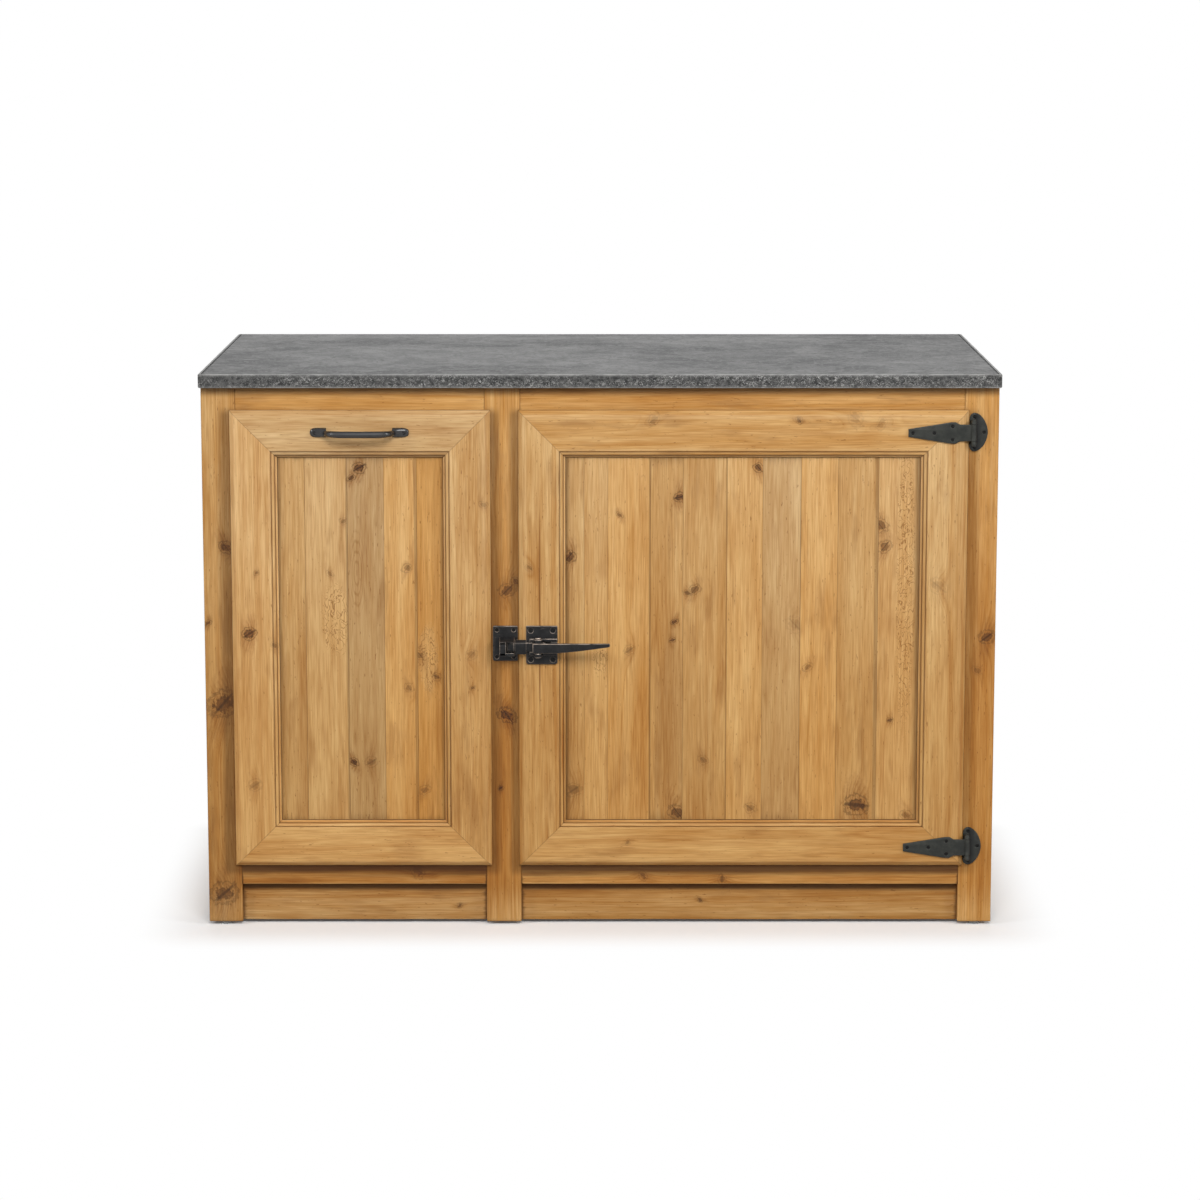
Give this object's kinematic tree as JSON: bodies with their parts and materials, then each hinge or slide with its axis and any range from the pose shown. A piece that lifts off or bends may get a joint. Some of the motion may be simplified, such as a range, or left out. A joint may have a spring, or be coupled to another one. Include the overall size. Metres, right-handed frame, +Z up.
{
  "type": "kitchen base cabinet",
  "caption": "Free-standing pine kitchen base cabinet with a dark stone worktop, a tall pull-out drawer on the left and a hinged door with an icebox-style lever latch on the right.",
  "frame": {"origin": "on the floor under the middle of the outer box", "axes": "+X to the right seen from the front, +Y to the back, +Z up; the front faces -Y"},
  "size_m": [1.275, 0.6794, 0.9],
  "materials": {
    "bluestone": "honed top with a rough scratched edge",
    "pine_frame": "waxed reclaimed pine",
    "pine_front": "waxed reclaimed pine",
    "pine_panel": "waxed reclaimed pine boards",
    "pine_carcass": "oiled pine",
    "black_iron": "blackened with burnished edges",
    "zinc_steel": "zinc plated",
    "glide_steel": "nickel plated"
  },
  "bodies": {
    "carcass": {"worktop": "bluestone", "left_stile": "pine_frame", "centre_stile": "pine_frame", "right_stile": "pine_frame", "top_rail_left": "pine_frame", "top_rail_right": "pine_frame", "bottom_rail_left": "pine_frame", "bottom_rail_right": "pine_frame", "toe_board_left": "pine_frame", "toe_board_right": "pine_frame", "rear_post_left": "pine_carcass", "rear_post_right": "pine_carcass", "left_side_boards": "pine_carcass", "right_side_boards": "pine_carcass", "back_boards": "pine_carcass", "rear_top_rail": "pine_carcass", "rear_bottom_rail": "pine_carcass", "floor_panel": "pine_carcass", "centre_partition": "pine_carcass", "floor_bearers": "pine_carcass", "shelf": "pine_carcass", "shelf_cleats": "pine_carcass", "foot_glides": "glide_steel", "slide_packers": "pine_carcass", "slide_cabinet_members": "zinc_steel", "upper_hinge_leaf": "black_iron", "lower_hinge_leaf": "black_iron", "hinge_pins": "black_iron", "latch_keeper": "black_iron", "carcass_screws": "black_iron"},
    "drawer": {"drawer_top_rail": "pine_front", "drawer_bottom_rail": "pine_front", "drawer_left_stile": "pine_front", "drawer_right_stile": "pine_front", "drawer_panel": "pine_panel", "drawer_box_left": "pine_carcass", "drawer_box_right": "pine_carcass", "drawer_box_front": "pine_carcass", "drawer_box_back": "pine_carcass", "drawer_box_bottom": "pine_carcass", "drawer_pull": "black_iron", "drawer_pull_screws": "black_iron", "slide_drawer_members": "zinc_steel"},
    "slide_runners": {"slide_middle_members": "zinc_steel"},
    "door": {"door_top_rail": "pine_front", "door_bottom_rail": "pine_front", "door_latch_stile": "pine_front", "door_hinge_stile": "pine_front", "door_panel": "pine_panel", "upper_hinge_strap": "black_iron", "lower_hinge_strap": "black_iron", "latch_body": "black_iron", "latch_pin": "black_iron", "door_screws": "black_iron"},
    "lever": {"latch_lever": "black_iron"},
    "bolt": {"latch_bolt": "black_iron"}
  },
  "joints": [
    {"name": "drawer_slide", "type": "slide", "parent": "carcass", "child": "drawer", "axis": [0, -1, 0], "range_m": [0, 0.42]},
    {"name": "runner_slide", "type": "slide", "parent": "carcass", "child": "slide_runners", "axis": [0, -1, 0], "range_m": [0, 0.21]},
    {"name": "door_hinge", "type": "hinge", "parent": "carcass", "child": "door", "pos_m": [0.5935, -0.30925, 0.47], "axis": [0, 0, 1], "range_deg": [0, 170]},
    {"name": "latch_lever_turn", "type": "hinge", "parent": "door", "child": "lever", "pos_m": [-0.099, -0.32275, 0.462], "axis": [0, 0, -1], "range_deg": [0, 35], "stiffness_Nm_per_rad": 0.3},
    {"name": "latch_bolt_slide", "type": "slide", "parent": "door", "child": "bolt", "axis": [1, 0, 0], "range_m": [0, 0.0046]}
  ],
  "couplings": [
    {"joint": "runner_slide", "follows": "drawer_slide", "ratio": 0.5},
    {"joint": "latch_bolt_slide", "follows": "latch_lever_turn", "m_per_rad": 0.0072}
  ]
}
